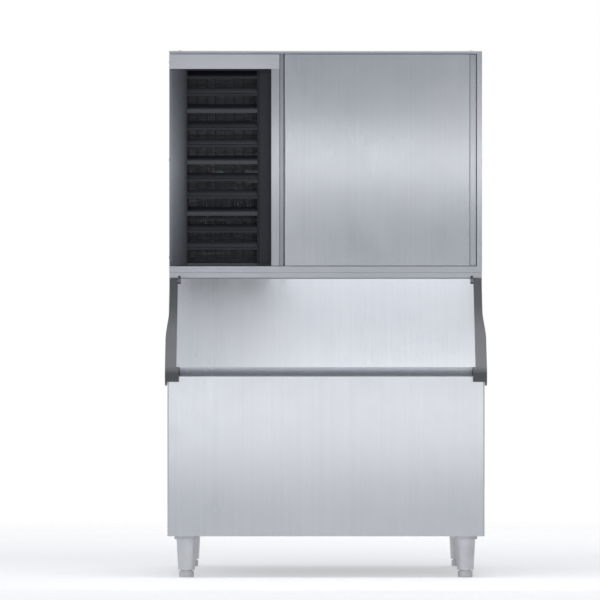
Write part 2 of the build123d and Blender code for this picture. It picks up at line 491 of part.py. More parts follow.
# ---- water inlet valve: threaded inlet through the back panel
wv = cyl_y(12, 396, BACK_Y + PROUD, INLET_X, INLET_Z)
wv = wv + box(INLET_X - 18, INLET_X + 18, 372, 400, INLET_Z - 16, INLET_Z + 16)
wv = wv + box(INLET_X - 15, INLET_X + 15, 362, 390, INLET_Z + 14, INLET_Z + 52)
wv = wv - cyl_y(8, 420, BACK_Y + PROUD + 4, INLET_X, INLET_Z)
wv = wv + cyl_y(15, 426, BACK_Y - T, INLET_X, INLET_Z) - cyl_y(8, 420, BACK_Y + PROUD + 4, INLET_X, INLET_Z)
save("water_inlet_valve", wv)

# ================================================================ ice side
# ---- grid: base plate with fins between square cells
pitch_x = (CEL_X1 - CEL_X0 - 1.2) / CELLS_X
pitch_z = (CEL_Z1 - CEL_Z0 - 1.2) / CELLS_Z
grid = box(CEL_X0, CEL_X1, CEL_Y0, CEL_Y1 + 1.6, CEL_Z0, CEL_Z1)
cells = []
for i in range(CELLS_X):
    for j in range(CELLS_Z):
        x0 = CEL_X0 + 1.2 + i * pitch_x
        z0 = CEL_Z0 + 1.2 + j * pitch_z
        cells.append(box(x0, x0 + pitch_x - 1.2, CEL_Y0 - 2, CEL_Y1, z0, z0 + pitch_z - 1.2))
grid = grid - cells
save("evaporator_plate", grid)

# ---- serpentine on the grid's back
cp = [(-30, 90.6, COIL_Z0)]
for k in range(COIL_ROWS):
    z = COIL_Z0 + k * COIL_PITCH
    ends = (322, -36) if k % 2 == 0 else (-36, 322)
    if k > 0:
        cp.append((ends[1], 90.6, z))
    cp.append((ends[0], 90.6, z))
cp[-1] = (-30, 90.6, COIL_Z1)
radii = [COIL_PITCH / 2 - 0.05] * (len(cp) - 2)
line = FilletPolyline(*[Vector(*p) for p in cp], radius=radii)
coil = sweep(Plane(origin=Vector(*cp[0]), z_dir=(1, 0, 0)) * Circle(6.0), path=line)
print("evaporator coil", round(line.length, 1), round(coil.volume), round(math.pi * 36 * line.length))
save("evaporator_coil", coil)

# ---- moulded surround with hanging arms, curtain ears and tube saddles
fr = box(-72, 352, 56, 84, 874, 1194) - box(CEL_X0 - 0.2, CEL_X1 + 0.2, 50, 120, CEL_Z0 - 0.2, CEL_Z1 + 0.2)
for z in (900, 1150):
    fr = fr + box(-100, -71, 66, 80, z, z + 24) + box(351, W2 - T, 66, 80, z, z + 24)
CUR_Y, CUR_Z = 34.0, 1196.0
for x0, x1 in ((-72, -62), (342, 352)):
    fr = fr + box(x0, x1, 27, 60, CUR_Z - 8, CUR_Z + 8)
    fr = fr + box(x0, x1, 56, 84, 1190, CUR_Z + 8)
    fr = fr - cyl_x(PIN_R + PIN_CLEAR, x0 - 1, x1 + 1, CUR_Y, CUR_Z)
TUBE_Y, TUBE_ZC = 68.0, 1206.0
for x in (-30, 140, 310):
    fr = fr + box(x - 6, x + 6, TUBE_Y - 12, TUBE_Y + 12, 1193, TUBE_ZC)
fr = fr - cyl_x(9.0, -80, 360, TUBE_Y, TUBE_ZC)
PR_Y, PR_Z = 45.0, 1184.0
for x0, x1 in ((-15, -9.5), (1.5, 7)):
    fr = fr + box(x0, x1, 40, 58, 1180.5, 1191) - cyl_x(1.65, x0 - 1, x1 + 1, PR_Y, PR_Z)
save("evaporator_frame", fr)

# ---- distribution tube
dt = cyl_x(9.0, -66, 340, TUBE_Y, TUBE_ZC)
dt = dt - cyl_x(6.5, -60, 345, TUBE_Y, TUBE_ZC)
for k in range(14):
    x = CEL_X0 + 15 + k * 28.5
    dt = dt - cyl_z(1.6, TUBE_ZC - 12, TUBE_ZC, x, TUBE_Y - 3)
save("distribution_tube", dt)

# ---- curtain with its pins
cu = box(-58, 338, 30, 33, 884, CUR_Z + 3)
for k in range(6):
    x = -20 + 64 * k
    cu = cu + box(x - 1.5, x + 1.5, 25, 31, 900, 1180)
cu = cu + box(-58, -55, 30, 42, 890, CUR_Z - 12) + box(335, 338, 30, 42, 890, CUR_Z - 12)
cu = cu + cyl_x(5.5, -61, -50, CUR_Y, CUR_Z) + cyl_x(5.5, 330, 341, CUR_Y, CUR_Z)
cu = cu + cyl_x(PIN_R, -71, -60, CUR_Y, CUR_Z) + cyl_x(PIN_R, 340, 351, CUR_Y, CUR_Z)
save("water_curtain", cu)

# ---- trough
TR = (-72.0, 352.0, 50.0, 166.0, 760.0, 848.0)
trg = box(TR[0], TR[1], TR[2], TR[3], TR[4], TR[5])
trg = fillet(trg.edges().filter_by(Axis.X).group_by(Axis.Z)[0], 12)
tin = box(TR[0] + 3, TR[1] - 3, TR[2] + 3, TR[3] - 3, TR[4] + 3, TR[5] + 10)
tin = fillet(tin.edges().filter_by(Axis.X).group_by(Axis.Z)[0], 9)
trg = trg - tin
for x in (-60, 320):
    trg = trg + box(x, x + 18, 62, 154, HEAD_Z0 + 2, TR[4] + 1)
trg = trg + cyl_y(9, TR[3] - 1, TR[3] + 12, 200, 778) - cyl_y(6, TR[3] - 5, TR[3] + 15, 200, 778)
save("water_trough", trg)

# ---- pump: volute in the trough, motor above its edge
pu = cyl_z(26, 768, 790, 300, 134) + cyl_z(8, 789, 866, 300, 134) + cyl_z(28, 860, 866, 300, 134)
pu = pu + cyl_z(27, 866, 938, 300, 134)
pu = fillet(pu.edges().group_by(Axis.Z)[-1], 6)
pu = pu + box(318, 330, 126, 142, 772, 786) + cyl_z(6.5, 780, 880, 334, 134) + box(326, 341, 126, 142, 772, 786)
pu = pu + box(262, 338, 160, 171.5, 848, 862) + box(288, 312, 150, 168, 852, 866)
save("water_pump", pu)

# ---- hose from the pump to the tube
hose = pipe([(334, 134, 880), (334, 134, 960), (368, 134, 1040), (368, 134, 1160), (368, 110, TUBE_ZC), (368, TUBE_Y, TUBE_ZC), (340, TUBE_Y, TUBE_ZC)],
            6.5, cap=22, name="pump hose")
save("pump_hose", hose)

# ---- dump valve with its outlet to the back
dv = box(184, 216, TR[3] + 12, 236, 764, 796) + box(182, 218, 186, 226, 796, 840) + cyl_y(10, 236, BACK_Y - T - 0.0, 200, 780)
dv = dv + cyl_z(5, 836, 844, 200, 206)
save("dump_valve", dv)

# ---- level probe: holder on the trough's back wall with two rods
lp = box(60, 100, 150, 172, 848, 862) + box(66, 94, 150, 162, 856, 880)
lp = lp + cyl_z(2, 776, 850, 72, 156) + cyl_z(2, 792, 850, 88, 156)
save("level_probe", lp)

# ---- ice thickness probe: hinged arm in front of the grid
ip = box(-8, 0, 42, 45, 1096, 1184) + cyl_x(3.4, -8.0, 0, PR_Y, PR_Z)
ip = ip + cyl_y(2.0, 44, 54, -4, 1101)
ip = ip + cyl_x(1.6, -15, -7, PR_Y, PR_Z) + cyl_x(1.6, -1, 7, PR_Y, PR_Z)
save("ice_thickness_probe", ip)

# ================================================================ front doors of the head
DZ0, DZ1 = HEAD_Z0 + 16.5, HEAD_Z1 - 8.5      # both doors' height
STILE_X0, STILE_X1 = -132.0, -112.5
# ---- stainless frame: top strip and stile, folded back at its edges
gf = box(-W2, STILE_X1, HEAD_Y0, HEAD_Y0 + T, 1231, DZ1) + box(STILE_X0, STILE_X1, HEAD_Y0, HEAD_Y0 + T, DZ0, DZ1)
gf = gf + box(-W2 + 0.0, STILE_X1, HEAD_Y0, HEAD_Y0 + 20, DZ1 - T, DZ1)
gf = gf + box(STILE_X1 - T, STILE_X1, HEAD_Y0, HEAD_Y0 + 22, DZ0, DZ1)
gf = gf + box(-W2, -W2 + T, HEAD_Y0, HEAD_Y0 + 22, 1231, DZ1)
gf = gf + box(-W2, STILE_X1, HEAD_Y0 + 20, HEAD_Y0 + 22, 1231, DZ1)
gf = gf + box(STILE_X0 - 6, STILE_X1, HEAD_Y0 + 20, HEAD_Y0 + 22, DZ0, DZ1)
gf = gf - cyl_z(PIN_R + PIN_CLEAR, DZ1 - 5, DZ1 + 5, *PINS["grille"])
save("grille_frame", gf)

# ---- black grille: curved left edge, recessed right margin, sloping blades
GX0, GX1, GZ0, GZ1 = -W2, STILE_X0 - 0.4, DZ0, 1230.6
outline = [(GX0 + 0.6, HEAD_Y0 + 22), (GX0, HEAD_Y0 + 16), (GX0 + 2.5, HEAD_Y0 + 9), (GX0 + 8, HEAD_Y0 + 4),
           (GX0 + 17, HEAD_Y0 + 1), (GX0 + 30, HEAD_Y0), (GX0 + 44, HEAD_Y0 + 1.5), (GX0 + 44, HEAD_Y0 + 20),
           (GX0 + 40, HEAD_Y0 + 20), (GX0 + 40, HEAD_Y0 + 6), (GX0 + 12, HEAD_Y0 + 7), (GX0 + 5, HEAD_Y0 + 13), (GX0 + 5, HEAD_Y0 + 22)]
gr = plan(outline, GZ0, GZ1)
BX0, BX1 = GX0 + 43, -167.0
gr = gr + plan([(BX1, HEAD_Y0 + 9), (BX1 + 6, HEAD_Y0 + 12), (GX1, HEAD_Y0 + 12), (GX1, HEAD_Y0 + 16), (BX1 + 2, HEAD_Y0 + 16), (BX1, HEAD_Y0 + 20)], GZ0, GZ1)
gr = gr + box(GX1 - 3, GX1, HEAD_Y0 + 2, HEAD_Y0 + 16, GZ0, GZ1)
gr = gr + box(GX0 + 5, GX1, HEAD_Y0 + 4, HEAD_Y0 + 18, GZ1 - 4, GZ1) + box(GX0 + 5, GX1, HEAD_Y0 + 4, HEAD_Y0 + 18, GZ0, GZ0 + 6)
BLADE = 41.67
z = 1127.6 + 2 * BLADE
n = 0
while z > GZ0 + 12:
    major = (n % 3 == 2)
    d = 0.0 if major else 4.0
    blade = [(HEAD_Y0 + 2 + d, z - 4), (HEAD_Y0 + 2 + d, z + (5 if major else 2)), (HEAD_Y0 + 6 + d, z + (6 if major else 3.5)),
             (HEAD_Y0 + 20, z + 17), (HEAD_Y0 + 20, z + 14), (HEAD_Y0 + 8 + d, z - 1)]
    gr = gr + prism(blade, BX0, BX1 + 1)
    z -= BLADE
    n += 1
# pin lugs
lug = box(GX0 + 5, GX0 + 18, HEAD_Y0 + 5, HEAD_Y0 + 21, GZ0, GZ0 + 8)
gr = gr + lug
gr = gr - cyl_z(PIN_R + PIN_CLEAR, GZ0 - 2, GZ0 + 10, *PINS["grille"])
save("intake_grille", max(gr.solids(), key=lambda s: s.volume))

# ---- right door: pan with a full-height finger channel at its right edge
RX0, RX1 = -99.5, 352.0
rd = box(RX0, RX1, HEAD_Y0, HEAD_Y0 + 24, DZ0, DZ1)
rd = fillet(rd.edges().filter_by(Axis.Z).group_by(Axis.Y)[0], 2.5)
rd = rd - box(RX0 + T, RX1 - T, HEAD_Y0 + T, HEAD_Y0 + 30, DZ0 + T, DZ1 - T)
rd = rd + box(RX1 - T, 366.5, HEAD_Y0 + 14, HEAD_Y0 + 14 + T, DZ0, DZ1) + box(366.5 - T, 366.5, HEAD_Y0 + 3, HEAD_Y0 + 15, DZ0, DZ1)
rd = rd - cyl_z(PIN_R + PIN_CLEAR, DZ0 - 5, DZ0 + 5, *PINS["right"]) - cyl_z(PIN_R + PIN_CLEAR, DZ1 - 5, DZ1 + 5, *PINS["right"])
save("right_front_door", rd)
ins = box(RX0 + 18, RX1 - T, HEAD_Y0 + T, HEAD_Y0 + 24, DZ0 + T, DZ1 - T)
save("front_door_insulation", ins)

pins = []
x, y = PINS["grille"]
pins += [cyl_z(PIN_R, HEAD_Z0 + 13, DZ0 + 6, x, y), cyl_z(PIN_R, DZ1 - 6, HEAD_Z1 - 5.5, x, y)]
x, y = PINS["right"]
pins += [cyl_z(PIN_R, HEAD_Z0 + 13, DZ0 + 8, x, y), cyl_z(PIN_R, DZ1 - 8, HEAD_Z1 - 5.5, x, y)]
save("front_hinge_pins", *pins)
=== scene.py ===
import math
import random

import bmesh
import bpy
from mathutils import Matrix, Vector


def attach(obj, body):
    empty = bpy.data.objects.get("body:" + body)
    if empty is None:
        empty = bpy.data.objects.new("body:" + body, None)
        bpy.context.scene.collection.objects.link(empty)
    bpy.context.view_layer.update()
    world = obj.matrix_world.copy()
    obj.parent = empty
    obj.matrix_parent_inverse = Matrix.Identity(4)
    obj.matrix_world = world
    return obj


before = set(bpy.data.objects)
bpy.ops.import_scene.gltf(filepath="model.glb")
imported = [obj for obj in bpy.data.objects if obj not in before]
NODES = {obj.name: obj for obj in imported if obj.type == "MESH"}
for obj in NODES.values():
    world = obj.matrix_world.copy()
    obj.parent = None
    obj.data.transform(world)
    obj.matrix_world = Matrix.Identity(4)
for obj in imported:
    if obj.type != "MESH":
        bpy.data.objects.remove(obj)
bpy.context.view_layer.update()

random.seed(7)
scene = bpy.context.scene
scene.view_settings.view_transform = "Standard"
scene.view_settings.look = "None"
scene.view_settings.exposure = 0.0
scene.view_settings.gamma = 1.0

# ------------------------------------------------------------------ camera
cam_data = bpy.data.cameras.new("camera")
cam_data.sensor_width = 36.0
cam_data.lens = 450.8
cam_data.clip_end = 100.0
cam = bpy.data.objects.new("camera", cam_data)
scene.collection.objects.link(cam)
cam.location = (-0.0624, -18.49, 0.668)
cam.rotation_euler = (math.radians(90), 0, 0)
scene.camera = cam


# ------------------------------------------------------------------ node helpers
class Mat:
    """Small builder round one Principled material."""

    def __init__(self, name, **sockets):
        self.m = bpy.data.materials.new(name)
        self.m.use_nodes = True
        self.t = self.m.node_tree
        self.t.nodes.clear()
        self.out = self.t.nodes.new("ShaderNodeOutputMaterial")
        self.p = self.t.nodes.new("ShaderNodeBsdfPrincipled")
        self.t.links.new(self.p.outputs[0], self.out.inputs[0])
        self.tc = self.t.nodes.new("ShaderNodeTexCoord")
        for k, v in sockets.items():
            self.p.inputs[k.replace("_", " ")].default_value = v
        self.heights = []

    def node(self, kind, **props):
        n = self.t.nodes.new(kind)
        for k, v in props.items():
            setattr(n, k, v)
        return n

    def link(self, a, b):
        self.t.links.new(a, b)

    def coords(self, scale=(1, 1, 1), rot=(0, 0, 0), loc=(0, 0, 0)):
        mp = self.node("ShaderNodeMapping")
        mp.inputs["Scale"].default_value = scale
        mp.inputs["Rotation"].default_value = rot
        mp.inputs["Location"].default_value = loc
        self.link(self.tc.outputs["Object"], mp.inputs["Vector"])
        return mp.outputs[0]

    def noise(self, vec, scale=1.0, detail=3.0, rough=0.5, dist=0.0):
        n = self.node("ShaderNodeTexNoise")
        n.inputs["Scale"].default_value = scale
        n.inputs["Detail"].default_value = detail
        n.inputs["Roughness"].default_value = rough
        n.inputs["Distortion"].default_value = dist
        self.link(vec, n.inputs["Vector"])
        return n.outputs["Fac"]

    def voronoi(self, vec, scale=1.0, feature="F1", out="Distance", rand=1.0):
        n = self.node("ShaderNodeTexVoronoi", feature=feature)
        n.inputs["Scale"].default_value = scale
        n.inputs["Randomness"].default_value = rand
        self.link(vec, n.inputs["Vector"])
        return n.outputs[out]

    def ramp(self, fac, stops):
        r = self.node("ShaderNodeValToRGB")
        el = r.color_ramp.elements
        while len(el) > 1:
            el.remove(el[-1])
        el[0].position, el[0].color = stops[0][0], self._c(stops[0][1])
        for pos, c in stops[1:]:
            e = el.new(pos)
            e.color = self._c(c)
        self.link(fac, r.inputs["Fac"])
        return r.outputs["Color"]

    @staticmethod
    def _c(c):
        if isinstance(c, (int, float)):
            return (c, c, c, 1)
        return (c[0], c[1], c[2], 1)

    def math(self, op, a, b=0.5, c=None, clamp=False):
        n = self.node("ShaderNodeMath", operation=op, use_clamp=clamp)
        for i, v in enumerate((a, b, c)):
            if v is None:
                continue
            if isinstance(v, (int, float)):
                n.inputs[i].default_value = v
            else:
                self.link(v, n.inputs[i])
        return n.outputs[0]

    def remap(self, v, a, b, lo, hi):
        n = self.node("ShaderNodeMapRange")
        n.inputs["From Min"].default_value = a
        n.inputs["From Max"].default_value = b
        n.inputs["To Min"].default_value = lo
        n.inputs["To Max"].default_value = hi
        self.link(v, n.inputs["Value"])
        return n.outputs[0]

    def mix(self, fac, a, b, blend="MIX"):
        n = self.node("ShaderNodeMix", data_type="RGBA", blend_type=blend)
        for i, v in ((0, fac), (6, a), (7, b)):
            if isinstance(v, (int, float)):
                n.inputs[i].default_value = v if i == 0 else self._c(v)
            elif isinstance(v, tuple):
                n.inputs[i].default_value = self._c(v)
            else:
                self.link(v, n.inputs[i])
        return n.outputs[2]

    def color(self, v):
        if isinstance(v, tuple):
            self.p.inputs["Base Color"].default_value = self._c(v)
        else:
            self.link(v, self.p.inputs["Base Color"])
        return self

    def rough(self, v):
        self.link(v, self.p.inputs["Roughness"])
        return self

    def bump(self, height, strength=0.2, distance=0.001):
        b = self.node("ShaderNodeBump")
        b.inputs["Strength"].default_value = strength
        b.inputs["Distance"].default_value = distance
        self.link(height, b.inputs["Height"])
        if self.heights:
            self.link(self.heights[-1], b.inputs["Normal"])
        self.heights.append(b.outputs[0])
        for l in list(self.p.inputs["Normal"].links):
            self.t.links.remove(l)
        self.link(b.outputs[0], self.p.inputs["Normal"])
        return self


def stainless(name, grain, base=(0.62, 0.635, 0.655), rough=0.30, wide=0.05, aniso=0.0, rot=0.0):
    """Brushed sheet. grain: how fast the brushing changes along x, y and z (low along the lines)."""
    m = Mat(name, Metallic=1.0)
    m.p.inputs["Anisotropic"].default_value = aniso
    m.p.inputs["Anisotropic Rotation"].default_value = rot
    fine = m.noise(m.coords([g * 1.0 for g in grain]), 1.0, 4.0, 0.65)
    band = m.noise(m.coords([g * wide for g in grain], loc=(3.1, 1.7, 0.4)), 1.0, 2.0, 0.5)
    cloud = m.noise(m.coords((1, 1, 1), loc=(0.3, 0.9, 2.2)), 3.2, 3.0, 0.55)
    smudge = m.noise(m.coords((1, 1, 1), loc=(5.3, 2.9, 1.2)), 17.0, 4.0, 0.6, 0.6)
    c0 = m.ramp(fine, [(0.3, tuple(x * 0.955 for x in base)), (0.7, tuple(min(1, x * 1.035) for x in base))])
    c1 = m.ramp(band, [(0.35, 0.975), (0.65, 1.0)])
    c2 = m.ramp(cloud, [(0.3, (0.975, 0.98, 0.99)), (0.7, (1.0, 1.0, 1.0))])
    m.color(m.mix(1.0, m.mix(1.0, c0, c1, "MULTIPLY"), c2, "MULTIPLY"))
    r = m.math("ADD", m.remap(fine, 0.25, 0.75, rough - 0.05, rough + 0.06), m.remap(cloud, 0.3, 0.7, -0.02, 0.03))
    r = m.math("ADD", r, m.remap(smudge, 0.45, 0.72, 0.0, 0.035), clamp=True)
    m.rough(r)
    m.bump(fine, 0.10, 0.0002)
    m.bump(band, 0.05, 0.0004)
    return m.m


def frame_mat(name):
    """Brushed frame of the grille: the top strip is coloured paler than the stile under it, and the stile darker than
    the other stainless.
    """
    m = Mat(name, Metallic=1.0)
    sep = m.node("ShaderNodeSeparateXYZ")
    m.link(m.tc.outputs["Object"], sep.inputs[0])
    up = m.remap(sep.outputs[2], 1.2300, 1.2315, 0.0, 1.0)
    across = m.noise(m.coords((7.0, 2600.0, 2600.0)), 1.0, 4.0, 0.65)
    along = m.noise(m.coords((2600.0, 2600.0, 7.0)), 1.0, 4.0, 0.65)
    mixv = m.node("ShaderNodeMix", data_type="FLOAT")
    m.link(up, mixv.inputs[0])
    m.link(along, mixv.inputs[2])
    m.link(across, mixv.inputs[3])
    fine = mixv.outputs[0]
    cloud = m.noise(m.coords((1, 1, 1), loc=(0.3, 0.9, 2.2)), 3.2, 3.0, 0.55)
    lo = m.ramp(fine, [(0.3, (0.50, 0.515, 0.535)), (0.7, (0.56, 0.575, 0.595))])
    hi = m.ramp(fine, [(0.3, (0.735, 0.74, 0.755)), (0.7, (0.80, 0.805, 0.82))])
    m.color(m.mix(1.0, m.mix(up, lo, hi), m.ramp(cloud, [(0.3, 0.975), (0.7, 1.0)]), "MULTIPLY"))
    m.rough(m.math("ADD", m.remap(fine, 0.25, 0.75, 0.27, 0.37), m.remap(cloud, 0.3, 0.7, -0.02, 0.03)))
    m.bump(fine, 0.10, 0.0002)
    return m.m


def galvanised(name):
    m = Mat(name, Metallic=1.0)
    spangle = m.voronoi(m.coords((1, 1, 1)), 105.0, "F1", "Color")
    sep = m.node("ShaderNodeSeparateColor")
    m.link(spangle, sep.inputs[0])
    n = m.noise(m.coords((1, 1, 1)), 260.0, 3.0, 0.6)
    soft = m.noise(m.coords((1, 1, 1)), 6.0, 3.0, 0.5)
    c = m.ramp(sep.outputs[0], [(0.0, (0.455, 0.475, 0.49)), (0.5, (0.50, 0.52, 0.535)), (1.0, (0.545, 0.565, 0.575))])
    c = m.mix(1.0, c, m.ramp(soft, [(0.3, 0.88), (0.7, 1.0)]), "MULTIPLY")
    m.color(c)
    m.rough(m.math("ADD", m.remap(sep.outputs[1], 0, 1, 0.38, 0.47), m.remap(n, 0.3, 0.7, -0.03, 0.05)))
    m.bump(sep.outputs[0], 0.08, 0.0003)
    m.bump(n, 0.12, 0.0002)
    return m.m


def plastic(name, base, rough=0.45, grain=900.0, strength=0.15, dist=0.00025, vary=0.08, coat=0.0, sss=0.0, spec=0.5, large=0.0):
    m = Mat(name, Metallic=0.0)
    m.p.inputs["Coat Weight"].default_value = coat
    m.p.inputs["Coat Roughness"].default_value = 0.25
    m.p.inputs["Specular IOR Level"].default_value = spec
    if sss:
        m.p.inputs["Subsurface Weight"].default_value = sss
        m.p.inputs["Subsurface Radius"].default_value = (0.006, 0.005, 0.004)
        m.p.inputs["Subsurface Scale"].default_value = 0.5
    g = m.noise(m.coords((1, 1, 1)), grain, 3.0, 0.6)
    soft = m.noise(m.coords((1, 1, 1)), 9.0, 4.0, 0.55)
    dust = m.noise(m.coords((1, 1, 1), loc=(2, 4, 1)), 60.0, 5.0, 0.7)
    c = m.ramp(soft, [(0.3, tuple(x * (1 - vary) for x in base)), (0.7, tuple(min(1, x * (1 + vary)) for x in base))])
    c = m.mix(1.0, c, m.ramp(dust, [(0.35, 0.95), (0.65, 1.0)]), "MULTIPLY")
    m.color(c)
    m.rough(m.math("ADD", m.remap(soft, 0.3, 0.7, rough - 0.05, rough + 0.05), m.remap(g, 0.3, 0.7, -0.04, 0.05), clamp=True))
    m.bump(g, strength, dist)
    if large:
        m.bump(soft, large, 0.002)
    return m.m


def grip_mat(name):
    # moulded black grip: satin above; the flared lower part is coloured a lighter grey by height as a painted
    # reflection, and the end cap is darker again
    m = Mat(name, Metallic=0.0)
    m.p.inputs["Specular IOR Level"].default_value = 0.5
    sep = m.node("ShaderNodeSeparateXYZ")
    m.link(m.coords((1, 1, 1)), sep.inputs[0])
    g = m.noise(m.coords((1, 1, 1)), 1300.0, 3.0, 0.6)
    soft = m.noise(m.coords((1, 1, 1)), 9.0, 4.0, 0.55)
    c = m.ramp(m.remap(sep.outputs[2], 0.455, 0.735, 0.0, 1.0), [
        (0.13, (0.058, 0.059, 0.062)), (0.19, (0.205, 0.206, 0.209)), (0.50, (0.180, 0.182, 0.186)),
        (0.72, (0.085, 0.087, 0.092)), (1.0, (0.062, 0.064, 0.070))])
    m.color(m.mix(1.0, c, m.ramp(soft, [(0.3, 0.93), (0.7, 1.0)]), "MULTIPLY"))
    m.rough(m.math("ADD", m.remap(soft, 0.3, 0.7, 0.36, 0.46), m.remap(g, 0.3, 0.7, -0.04, 0.05), clamp=True))
    m.bump(g, 0.22, 0.00025)
    return m.m


def foam_mat(name, base):
    m = Mat(name, Metallic=0.0)
    cell = m.voronoi(m.coords((1, 1, 1)), 420.0, "F1", "Distance")
    big = m.noise(m.coords((1, 1, 1)), 24.0, 4.0, 0.6)
    c = m.ramp(cell, [(0.0, tuple(x * 0.72 for x in base)), (0.6, base)])
    c = m.mix(1.0, c, m.ramp(big, [(0.3, (0.86, 0.84, 0.80)), (0.7, (1.0, 1.0, 1.0))]), "MULTIPLY")
    m.color(c)
    m.rough(m.remap(big, 0.2, 0.8, 0.8, 0.95))
    m.bump(cell, 0.4, 0.0008)
    m.bump(big, 0.3, 0.003)
    return m.m


def metal(name, base, rough=0.3, vary=0.08, grain=(300, 300, 300), tarnish=None, strength=0.12, dist=0.0003):
    m = Mat(name, Metallic=1.0)
    g = m.noise(m.coords(grain), 1.0, 4.0, 0.6)
    soft = m.noise(m.coords((1, 1, 1)), 18.0, 4.0, 0.6)
    dark = tarnish or tuple(x * (1 - 3 * vary) for x in base)
    c = m.ramp(soft, [(0.25, dark), (0.6, base), (0.8, tuple(min(1, x * (1 + vary)) for x in base))])
    m.color(m.mix(1.0, c, m.ramp(g, [(0.3, 0.92), (0.7, 1.0)]), "MULTIPLY"))
    m.rough(m.math("ADD", m.remap(soft, 0.25, 0.75, rough + 0.08, rough - 0.04), m.remap(g, 0.3, 0.7, -0.03, 0.05), clamp=True))
    m.bump(g, strength, dist)
    return m.m


def paint(name, base, rough=0.35, coat=0.3, metallic=0.0):
    m = Mat(name, Metallic=metallic)
    m.p.inputs["Coat Weight"].default_value = coat
    m.p.inputs["Coat Roughness"].default_value = 0.15
    peel = m.noise(m.coords((1, 1, 1)), 420.0, 2.0, 0.5)
    soft = m.noise(m.coords((1, 1, 1)), 12.0, 4.0, 0.6)
    m.color(m.ramp(soft, [(0.3, tuple(x * 0.86 for x in base)), (0.7, tuple(min(1, x * 1.1) for x in base))]))
    m.rough(m.remap(soft, 0.3, 0.7, rough - 0.04, rough + 0.08))
    m.bump(peel, 0.10, 0.0006)
    return m.m


def partition_mat(name):
    """White insulated wall; its folded front edge between the doors is brushed steel, coloured darker than the door
    steel as painted shade in the seam.
    """
    m = Mat(name)
    sep = m.node("ShaderNodeSeparateXYZ")
    m.link(m.tc.outputs["Object"], sep.inputs[0])
    steel = m.math("LESS_THAN", sep.outputs[1], -0.1565)
    soft = m.noise(m.coords((1, 1, 1)), 9.0, 4.0, 0.55)
    grain = m.noise(m.coords((1, 1, 1)), 500.0, 3.0, 0.6)
    brush = m.noise(m.coords((2600.0, 2600.0, 7.0)), 1.0, 4.0, 0.65)
    white = m.ramp(soft, [(0.3, (0.78, 0.80, 0.81)), (0.7, (0.83, 0.84, 0.845))])
    # painted shade: the front edge steel is darker than the other stainless, for the shade in the gap between the doors
    metal_c = m.ramp(brush, [(0.3, (0.39, 0.40, 0.42)), (0.7, (0.45, 0.46, 0.48))])
    m.color(m.mix(steel, white, metal_c))
    m.link(steel, m.p.inputs["Metallic"])
    m.rough(m.math("ADD", m.remap(soft, 0.3, 0.7, 0.30, 0.37), m.remap(brush, 0.3, 0.7, -0.03, 0.04)))
    m.bump(grain, 0.08, 0.00025)
    return m.m


def grille_mat(name, base, border):
    """Black moulding; the rounded outer border is coloured greyer than the blades as a painted highlight where its
    curve faces the light.
    """
    m = Mat(name, Metallic=0.0)
    m.p.inputs["Specular IOR Level"].default_value = 0.42
    sep = m.node("ShaderNodeSeparateXYZ")
    m.link(m.tc.outputs["Object"], sep.inputs[0])
    g = m.noise(m.coords((1, 1, 1)), 1300.0, 3.0, 0.6)
    soft = m.noise(m.coords((1, 1, 1)), 9.0, 4.0, 0.55)
    dust = m.noise(m.coords((1, 1, 1), loc=(2, 4, 1)), 60.0, 5.0, 0.7)
    # painted highlight: the border colour is mixed in towards the left edge, strongest part-way up and weaker towards
    # top and bottom
    edge = m.remap(sep.outputs[0], -0.3795, -0.338, 1.0, 0.0)
    height = m.math("MULTIPLY", m.remap(sep.outputs[2], 0.76, 0.98, 0.30, 1.0), m.remap(sep.outputs[2], 1.00, 1.20, 1.0, 0.42))
    c = m.ramp(soft, [(0.3, tuple(x * 0.82 for x in base)), (0.7, tuple(x * 1.18 for x in base))])
    c = m.mix(m.math("MULTIPLY", edge, height, clamp=True), c, border)
    # every third blade is a main bar; its broader nose is coloured lighter as a painted highlight of the light from
    # above
    step = m.math("DIVIDE", m.math("SUBTRACT", sep.outputs[2], 1.0026), 0.12501)
    near = m.math("ABSOLUTE", m.math("SUBTRACT", step, m.math("ROUND", step, None)))
    bar_painted_highlight = m.math("MULTIPLY", m.remap(near, 0.045, 0.075, 1.0, 0.0), m.math("LESS_THAN", sep.outputs[1], -0.1775), clamp=True)
    inner = m.math("MULTIPLY", m.math("GREATER_THAN", sep.outputs[0], -0.3375), m.math("LESS_THAN", sep.outputs[0], -0.1665))
    c = m.mix(m.math("MULTIPLY", bar_painted_highlight, inner), c, (0.040, 0.043, 0.050))
    c = m.mix(1.0, c, m.ramp(dust, [(0.35, 0.93), (0.65, 1.0)]), "MULTIPLY")
    m.color(c)
    m.rough(m.math("ADD", m.remap(edge, 0.0, 1.0, 0.42, 0.28), m.remap(g, 0.3, 0.7, -0.04, 0.05), clamp=True))
    m.bump(g, 0.22, 0.00025)
    return m.m


